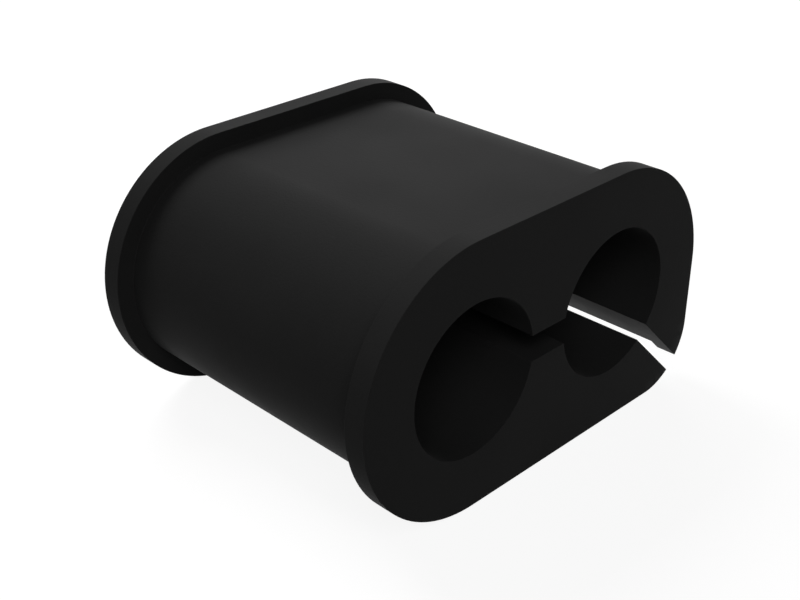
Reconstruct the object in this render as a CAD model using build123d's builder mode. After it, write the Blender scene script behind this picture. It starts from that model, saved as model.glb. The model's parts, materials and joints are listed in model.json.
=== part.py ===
from build123d import *
import os

# Two-hole rubber grommet, moulded in one piece.
# Two cables run side by side through its bores. A slot joins the bores through the web
# between them, and one slit opens the right-hand bore to the outside at its lower corner,
# so that the grommet can be spread and pushed over cables that are already in place.
# A bracket or panel holds the oblong body, between a flange at each end.
#
# Frame: X runs from bore to bore, Y along the bores with the front face at -Y, Z is up.
# The origin is midway between the bore axes and midway between the two end faces.

# Driving dimensions, in millimetres and degrees
bore_diameter = 17.0
bore_spacing = 22.0  # between the two bore axes
wall = 4.5  # rubber between a bore and the outside of the body
seat_width = 35.8  # room for the bracket, between the flanges
flange_thickness = 2.5
flange_height = 2.0  # how far a flange stands out from the body, all the way round
corner_radius = 5.0  # the body's one squared corner, where the slit comes out
web_slot_width = 3.0
slit_width = 2.0
slit_angle = 45.0  # the slit slopes down from the line of the bores by this much

# Sizes that follow from them
bore_radius = bore_diameter / 2
body_radius = bore_radius + wall
length = seat_width + 2 * flange_thickness
right_bore = (bore_spacing / 2, 0)
slit_reach = 2 * (body_radius + flange_height)  # from the bore's axis to well outside the corner

with BuildPart() as grommet:
    # Body: a half round about each bore, with the lower right corner squared off
    with BuildSketch(Plane.XZ) as body_outline:
        SlotCenterToCenter(bore_spacing, 2 * body_radius)
        with Locations(right_bore):
            Rectangle(body_radius, body_radius, align=(Align.MIN, Align.MAX))
        right_edge_ends = body_outline.vertices().group_by(Axis.X)[-1]
        fillet(right_edge_ends.sort_by(Axis.Y)[0], corner_radius)
    extrude(amount=seat_width / 2, both=True)

    # Flanges: the body's outline again, grown by the flange height
    for side in (-1, 1):
        with BuildSketch(Plane.XZ.offset(side * seat_width / 2)):
            add(body_outline.sketch)
            offset(amount=flange_height)
        extrude(amount=side * flange_thickness)

    # Bores, right through
    with BuildSketch(Plane.XZ):
        with GridLocations(bore_spacing, 0, 2, 1):
            Circle(bore_radius)
    extrude(amount=length / 2, both=True, mode=Mode.SUBTRACT)

    # Slot through the web, and the slit from the right-hand bore out through the corner
    with BuildSketch(Plane.XZ):
        Rectangle(bore_spacing, web_slot_width)
        with Locations(right_bore):
            Rectangle(
                slit_reach,
                slit_width,
                rotation=-slit_angle,
                align=(Align.MIN, Align.CENTER),
            )
    extrude(amount=length / 2, both=True, mode=Mode.SUBTRACT)

grommet.part.label = "grommet"

os.makedirs("parts", exist_ok=True)
export_step(grommet.part, "parts/grommet.step")
print("overall", grommet.part.bounding_box().size, "volume", round(grommet.part.volume))
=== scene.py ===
"""The looks of a two-hole rubber grommet: its moulded surface, the studio around it and the camera."""

import json
import math

import bmesh
import bpy
from mathutils import Matrix, Vector


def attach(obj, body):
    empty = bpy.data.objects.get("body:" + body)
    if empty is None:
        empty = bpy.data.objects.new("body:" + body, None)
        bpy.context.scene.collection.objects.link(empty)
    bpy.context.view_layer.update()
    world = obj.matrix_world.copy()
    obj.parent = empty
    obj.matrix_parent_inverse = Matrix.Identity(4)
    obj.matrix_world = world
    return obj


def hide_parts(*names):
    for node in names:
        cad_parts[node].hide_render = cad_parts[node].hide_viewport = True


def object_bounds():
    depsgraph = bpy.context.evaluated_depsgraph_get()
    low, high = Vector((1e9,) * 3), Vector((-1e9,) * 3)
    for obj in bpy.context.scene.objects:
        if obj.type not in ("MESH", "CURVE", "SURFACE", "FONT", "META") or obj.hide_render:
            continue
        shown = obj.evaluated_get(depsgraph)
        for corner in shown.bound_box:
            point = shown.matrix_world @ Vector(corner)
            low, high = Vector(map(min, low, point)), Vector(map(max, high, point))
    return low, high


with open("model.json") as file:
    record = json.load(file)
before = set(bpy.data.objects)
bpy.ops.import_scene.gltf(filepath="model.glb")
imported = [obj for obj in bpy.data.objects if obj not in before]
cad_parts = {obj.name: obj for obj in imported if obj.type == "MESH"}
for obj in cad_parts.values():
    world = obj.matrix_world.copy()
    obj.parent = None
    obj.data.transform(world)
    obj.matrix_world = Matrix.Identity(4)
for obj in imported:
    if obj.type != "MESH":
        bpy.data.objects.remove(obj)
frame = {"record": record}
cad_low, cad_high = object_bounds()

MM = 0.001  # millimetres to metres

# Sizes that the frame gives, in metres
mounts = {mount["name"]: mount for mount in frame["record"]["mounts"]}
left_axis = Vector(mounts["plain_bore"]["pos_m"])
right_axis = Vector(mounts["slit_bore"]["pos_m"])
bore_radius = mounts["plain_bore"]["dims"]["r_mm"] * MM
body_radius = mounts["seat_top"]["pos_m"][2]
flange_height = cad_high.z - body_radius
front = cad_low.y
flange_thickness = 2 * (mounts["flange_underside"]["pos_m"][1] - front)

# Sizes that repeat the construction's
corner_radius = 5 * MM  # the body's squared corner, where the slit comes out
web_slot_width = 3 * MM
slit_width = 2 * MM
slit_angle = 45  # degrees below the line of the bores

# Fineness of the mesh
edge_round = 0.05 * MM  # the moulded edges are crisp, but not knife sharp
edge_round_segments = 3
arc_step = 3  # degrees between the vertices of a round stretch
sharp_angle = math.radians(25)  # edges that turn more than this are rounded
merge_distance = MM / 1000

# The camera, fitted to the outline in the photograph
image_width = 800  # pixels
focal_pixels = 1262.3
sensor_width = 36  # millimetres
camera_azimuth = -45  # degrees
camera_elevation = 28.46
camera_distance = 141.1 * MM
camera_slide = Vector((-0.70, -2.82)) * MM  # to the right and up, off the line through the origin


def link_object(name, data):
    """A new object in the scene, for a mesh, a light or a camera."""
    made = bpy.data.objects.new(name, data)
    bpy.context.scene.collection.objects.link(made)
    return made


def mesh_object(name, bm):
    """A new object that holds a finished bmesh."""
    mesh = bpy.data.meshes.new(name)
    bm.to_mesh(mesh)
    bm.free()
    return link_object(name, mesh)


def linear(hex_colour):
    """An sRGB hex colour as the linear RGBA that a shader takes."""
    channels = [int(hex_colour[i : i + 2], 16) / 255 for i in (1, 3, 5)]
    return [c / 12.92 if c <= 0.04045 else ((c + 0.055) / 1.055) ** 2.4 for c in channels] + [1]


def add_node(tree, kind, inputs, **settings):
    """Adds a node with its settings, and links or sets its inputs, each given by name or number."""
    node = tree.nodes.new(kind)
    for name, value in settings.items():
        setattr(node, name, value)
    for key, value in inputs.items():
        if isinstance(value, bpy.types.NodeSocket):
            tree.links.new(value, node.inputs[key])
        else:
            node.inputs[key].default_value = value
    return node


def new_material(name):
    """A material with an empty node tree."""
    material = bpy.data.materials.new(name)
    material.use_nodes = True
    material.node_tree.nodes.clear()
    return material, material.node_tree


# The grommet's section, drawn in the plane of its front face


def around(axis, radius, degrees):
    """A point at an angle about an axis along the bores, from the right-hand side upwards."""
    angle = math.radians(degrees)
    return Vector((axis.x + radius * math.cos(angle), front, axis.z + radius * math.sin(angle)))


def half_angle(width, radius):
    """Half the angle, in degrees, that a slot takes up on a circle whose axis it passes through."""
    return math.degrees(math.asin(width / 2 / radius))


def draw_line(bm, tip, end):
    """Carries an outline on from its tip in a straight line."""
    tip = bmesh.ops.extrude_vert_indiv(bm, verts=[tip])["verts"][0]
    tip.co = end
    return tip


def draw_arc(bm, tip, axis, degrees):
    """Carries an outline on from its tip, clockwise about an axis as seen from the front."""
    made = bmesh.ops.spin(
        bm,
        geom=[tip],
        cent=axis,
        axis=(0, 1, 0),
        angle=math.radians(degrees),
        steps=math.ceil(degrees / arc_step),
    )
    return next(part for part in made["geom_last"] if isinstance(part, bmesh.types.BMVert))


def draw_inside(bm):
    """Both bores and the web slot in one outline, from the slit's lower side to its upper side."""
    slit_half = half_angle(slit_width, bore_radius)
    web_half = half_angle(web_slot_width, bore_radius)
    start = bm.verts.new(around(right_axis, bore_radius, -slit_angle - slit_half))
    tip = draw_arc(bm, start, right_axis, 180 - slit_angle - slit_half - web_half)
    tip = draw_line(bm, tip, around(left_axis, bore_radius, -web_half))
    tip = draw_arc(bm, tip, left_axis, 360 - 2 * web_half)
    tip = draw_line(bm, tip, around(right_axis, bore_radius, 180 - web_half))
    tip = draw_arc(bm, tip, right_axis, 180 + slit_angle - slit_half - web_half)
    return start, tip


def draw_outside(bm, growth):
    """The body's outline, grown all round, from the slit's lower side to its upper side."""
    corner_axis = right_axis + Vector((1, 0, -1)) * (body_radius - corner_radius)
    corner_round = corner_radius + growth
    end_round = body_radius + growth
    slit_half = half_angle(slit_width, corner_round)
    start = bm.verts.new(around(corner_axis, corner_round, -slit_angle - slit_half))
    tip = draw_arc(bm, start, corner_axis, 90 - slit_angle - slit_half)
    tip = draw_line(bm, tip, around(left_axis, end_round, -90))
    tip = draw_arc(bm, tip, left_axis, 180)
    tip = draw_line(bm, tip, around(right_axis, end_round, 90))
    tip = draw_arc(bm, tip, right_axis, 90)
    tip = draw_line(bm, tip, around(corner_axis, corner_round, 0))
    tip = draw_arc(bm, tip, corner_axis, slit_angle - slit_half)
    return start, tip


def draw_section(bm):
    """The body's section as one face, and the flange as a band of faces round it."""
    inside_ends = draw_inside(bm)
    inside_edges = bm.edges[:]
    body_ends = draw_outside(bm, 0)
    body_edges = bm.edges[len(inside_edges) :]
    slit_sides = [bm.edges.new(ends) for ends in zip(inside_ends, body_ends)]
    bmesh.ops.edgeloop_fill(bm, edges=inside_edges + body_edges + slit_sides)

    draw_outside(bm, flange_height)
    flange_edges = [edge for edge in bm.edges if not edge.link_faces]
    bmesh.ops.bridge_loops(bm, edges=body_edges + flange_edges)


# The grommet, moulded in one piece


def extruded(bm, faces, distance):
    """Extrudes faces along the bores, and gives the faces at the far end."""
    made = bmesh.ops.extrude_face_region(bm, geom=faces)["geom"]
    moved = [part for part in made if isinstance(part, bmesh.types.BMVert)]
    bmesh.ops.translate(bm, verts=moved, vec=(0, distance, 0))
    return [part for part in made if isinstance(part, bmesh.types.BMFace)]


def build_grommet():
    """The front flange and half the body, their mirror image, and a small round on each edge."""
    bm = bmesh.new()
    draw_section(bm)
    flange_back = extruded(bm, bm.faces[:], flange_thickness)
    body_section = max(flange_back, key=lambda face: len(face.verts))
    middle_section = extruded(bm, [body_section], -front - flange_thickness)
    bmesh.ops.delete(bm, geom=[body_section] + middle_section, context="FACES_ONLY")

    # The mirror also joins the halves where they meet
    half = bm.verts[:] + bm.edges[:] + bm.faces[:]
    bmesh.ops.mirror(bm, geom=half, merge_dist=merge_distance, axis="Y")
    bmesh.ops.recalc_face_normals(bm, faces=bm.faces[:])

    sharp_edges = [edge for edge in bm.edges if edge.calc_face_angle(0) > sharp_angle]
    bmesh.ops.bevel(
        bm,
        geom=sharp_edges,
        offset=edge_round,
        affect="EDGES",
        segments=edge_round_segments,
        profile=0.5,
        material=-1,
    )
    for face in bm.faces:
        face.smooth = True
    piece = mesh_object("moulded_grommet", bm)
    flat_faces = piece.modifiers.new("flat_faces_stay_flat", "WEIGHTED_NORMAL")
    flat_faces.weight = 100
    return piece


# Its rubber


def on_slit(tree, where):
    """1 on the two faces of the slit, and 0 on the rest of the grommet."""
    just_past_a_face = (slit_width + edge_round) / 2
    # X runs out along the slit from the bore's axis, and Z runs across it
    turned = add_node(
        tree,
        "ShaderNodeMapping",
        {"Vector": where, "Location": right_axis, "Rotation": (0, math.radians(slit_angle), 0)},
        vector_type="TEXTURE",
    )
    place = add_node(tree, "ShaderNodeSeparateXYZ", {"Vector": turned.outputs["Vector"]})
    across = add_node(tree, "ShaderNodeMath", {0: place.outputs["Z"]}, operation="ABSOLUTE")
    between = add_node(
        tree,
        "ShaderNodeMath",
        {0: across.outputs[0], 1: just_past_a_face},
        operation="LESS_THAN",
    )
    outward = add_node(
        tree,
        "ShaderNodeMath",
        {0: place.outputs["X"], 1: 0},
        operation="GREATER_THAN",
    )
    return add_node(
        tree,
        "ShaderNodeMath",
        {0: between.outputs[0], 1: outward.outputs[0]},
        operation="MULTIPLY",
    ).outputs[0]


def moulded_rubber():
    """Carbon-filled EPDM rubber, moulded in a spark-eroded tool.

    It is a deep neutral black. Its matt skin scatters nearly all the light that it sends back, so
    it has only a weak, wide sheen at shallow angles. A faint bloom leaves it a touch lighter and
    duller in patches, and the grain of the tool is so shallow that it shows only close up. The
    blade that forms the slit is ground, not eroded, so the slit's faces are a little smoother.
    """
    patch_size = 9 * MM
    grain_size = 0.3 * MM
    grain_depth = 0.015 * MM
    slit_smoothness = 0.15  # how far the slit's roughness is below the rest
    material, tree = new_material("moulded_rubber")
    where = add_node(tree, "ShaderNodeTexCoord", {}).outputs["Object"]

    patches = add_node(
        tree, "ShaderNodeTexNoise", {"Vector": where, "Scale": 1 / patch_size, "Detail": 3}
    )
    bloom = add_node(
        tree,
        "ShaderNodeMapRange",
        {"Value": patches.outputs["Fac"], "From Min": 0.35, "From Max": 0.65},
    )
    # Inputs 6 and 7 of a mix are its two colours
    black = add_node(
        tree,
        "ShaderNodeMix",
        {"Factor": bloom.outputs["Result"], 6: linear("#2f2f2f"), 7: linear("#323232")},
        data_type="RGBA",
    )
    dullness = add_node(
        tree,
        "ShaderNodeMapRange",
        {"Value": bloom.outputs["Result"], "To Min": 0.57, "To Max": 0.63},
    )
    roughness = add_node(
        tree,
        "ShaderNodeMath",
        {0: on_slit(tree, where), 1: -slit_smoothness, 2: dullness.outputs["Result"]},
        operation="MULTIPLY_ADD",
    )
    grain = add_node(
        tree, "ShaderNodeTexNoise", {"Vector": where, "Scale": 1 / grain_size, "Detail": 2}
    )
    relief = add_node(
        tree, "ShaderNodeBump", {"Distance": grain_depth, "Height": grain.outputs["Fac"]}
    )
    rubber = add_node(
        tree,
        "ShaderNodeBsdfPrincipled",
        {
            "Base Color": black.outputs[2],
            "Roughness": roughness.outputs[0],
            "Specular IOR Level": 0.02,
            "Normal": relief.outputs["Normal"],
        },
    )
    add_node(tree, "ShaderNodeOutputMaterial", {"Surface": rubber.outputs["BSDF"]})
    return material


# The studio


def sees_background(tree):
    """1 on camera rays and on mirrored or refracted ones, and 0 on the rays that carry light."""
    path = add_node(tree, "ShaderNodeLightPath", {})
    direct = add_node(
        tree,
        "ShaderNodeMath",
        {0: path.outputs["Is Camera Ray"], 1: path.outputs["Is Glossy Ray"]},
        operation="MAXIMUM",
    )
    return add_node(
        tree,
        "ShaderNodeMath",
        {0: direct.outputs[0], 1: path.outputs["Is Transmission Ray"]},
        operation="MAXIMUM",
    ).outputs[0]


def build_floor():
    """A wide floor that looks white, keeps a light shadow, and meets the background without a line.

    Its paper is grey, so that little light comes back up to the object. A glow that lights nothing
    makes up the rest of the white, and grows to full white away from the softboxes' light.
    """
    half_width = 2.5
    near = 0.15  # the glow starts to grow here, and is full at the far distance
    far = 0.5
    near_glow = 0.9
    bm = bmesh.new()
    bmesh.ops.create_grid(bm, x_segments=1, y_segments=1, size=half_width)
    bmesh.ops.translate(bm, verts=bm.verts[:], vec=(0, 0, cad_low.z))
    floor = mesh_object("floor", bm)

    material, tree = new_material("studio_paper")
    paper = add_node(tree, "ShaderNodeBsdfDiffuse", {"Color": linear("#898989")})
    where = add_node(tree, "ShaderNodeTexCoord", {}).outputs["Object"]
    away = add_node(tree, "ShaderNodeVectorMath", {0: where}, operation="LENGTH")
    level = add_node(
        tree,
        "ShaderNodeMapRange",
        {"Value": away.outputs["Value"], "From Min": near, "From Max": far, "To Min": near_glow},
    )
    seen = add_node(
        tree,
        "ShaderNodeMath",
        {0: sees_background(tree), 1: level.outputs["Result"]},
        operation="MULTIPLY",
    )
    glow = add_node(tree, "ShaderNodeEmission", {"Strength": seen.outputs[0]})
    both = add_node(tree, "ShaderNodeAddShader", {0: paper.outputs[0], 1: glow.outputs[0]})
    add_node(tree, "ShaderNodeOutputMaterial", {"Surface": both.outputs[0]})
    floor.data.materials.append(material)


def build_world():
    """A white surround to the eye and to mirrored rays, which gives no other light."""
    world = bpy.data.worlds.new("studio")
    bpy.context.scene.world = world
    world.use_nodes = True
    tree = world.node_tree
    tree.nodes.clear()
    surround = add_node(tree, "ShaderNodeBackground", {"Strength": sees_background(tree)})
    add_node(tree, "ShaderNodeOutputWorld", {"Surface": surround.outputs[0]})


def direction(azimuth, elevation):
    """A unit vector towards an azimuth and an elevation in degrees. Azimuth 0 is at the front."""
    a = math.radians(azimuth)
    e = math.radians(elevation)
    return Vector((math.sin(a) * math.cos(e), -math.cos(a) * math.cos(e), math.sin(e)))


def add_softbox(name, azimuth, elevation, power, size=0.3, distance=0.6):
    """A square softbox that faces the object. Its power is in watts."""
    light = bpy.data.lights.new(name, "AREA")
    light.shape = "SQUARE"
    light.size = size
    light.energy = power
    softbox = link_object(name, light)
    towards = direction(azimuth, elevation)
    softbox.location = towards * distance
    softbox.rotation_mode = "QUATERNION"
    softbox.rotation_quaternion = towards.to_track_quat("Z", "Y")


def build_camera():
    """The photograph's viewpoint."""
    data = bpy.data.cameras.new("camera")
    data.sensor_width = sensor_width
    data.lens = focal_pixels / image_width * sensor_width
    data.clip_start = 0.01
    data.clip_end = 20
    camera = link_object("camera", data)
    back = direction(camera_azimuth, camera_elevation)
    right = Vector((0, 0, 1)).cross(back).normalized()
    up = back.cross(right)
    place = Matrix((right, up, back)).transposed().to_4x4()
    place.translation = back * camera_distance + right * camera_slide.x + up * camera_slide.y
    camera.matrix_world = place
    bpy.context.scene.camera = camera


grommet = build_grommet()
grommet.data.materials.append(moulded_rubber())
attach(grommet, "root")
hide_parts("grommet")

build_floor()
build_world()
# The softboxes' powers are fitted to the shading in the photograph
add_softbox("back_key", azimuth=180, elevation=50, power=1.57)
add_softbox("back_right", azimuth=135, elevation=28, power=0.78)
add_softbox("front_fill", azimuth=-40, elevation=40, power=0.126, size=0.12, distance=0.25)
build_camera()
bpy.context.scene.view_settings.view_transform = "Standard"
